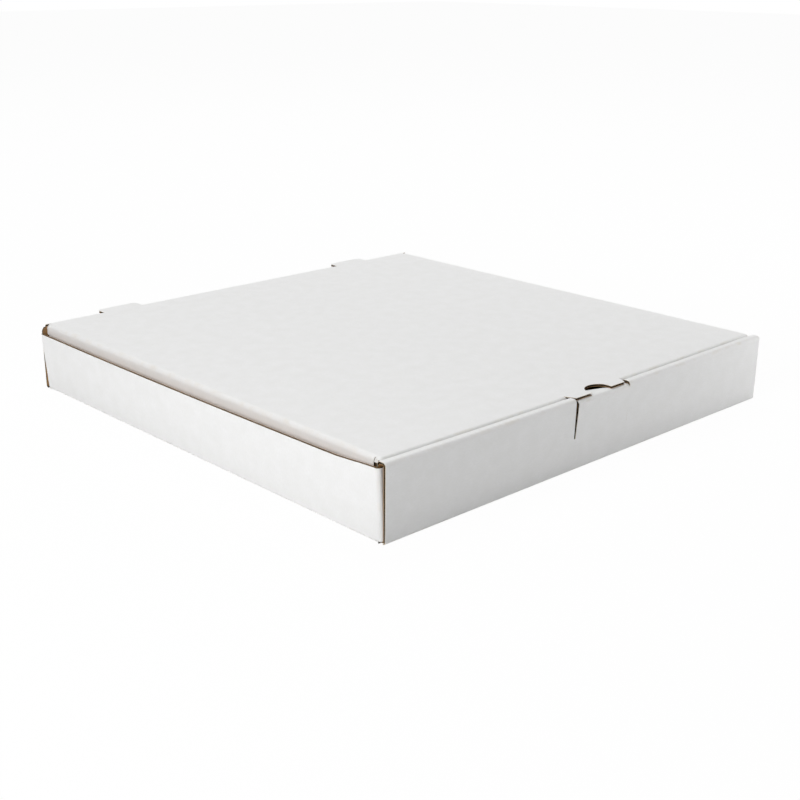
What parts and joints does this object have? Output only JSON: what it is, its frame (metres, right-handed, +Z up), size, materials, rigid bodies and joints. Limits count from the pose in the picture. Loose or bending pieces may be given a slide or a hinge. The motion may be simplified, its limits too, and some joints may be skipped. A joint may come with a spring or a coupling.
{
  "type": "pizza box",
  "caption": "Flat square pizza box folded from one sheet of white corrugated board, with a hinged tuck-in lid, a latch tab with finger notch, a double front wall and rear vent tabs.",
  "frame": {"origin": "on the underside of the base, at the centre of the tray's footprint", "axes": "+X along the front wall, to the right as seen from the front; +Y from the front wall to the hinge crease; +Z up"},
  "size_m": [0.3396, 0.343, 0.0435],
  "materials": {
    "board": "matt E-flute corrugated board, bleached white liner outside, brown kraft liner inside and raw brown cut edges"
  },
  "bodies": {
    "tray": {"tray": "board"},
    "lid": {"lid": "board"}
  },
  "joints": [
    {"name": "lid_hinge", "type": "hinge", "parent": "tray", "child": "lid", "pos_m": [0, 0.16575, 0.04275], "axis": [-1, 0, 0], "range_deg": [0, 180]}
  ]
}
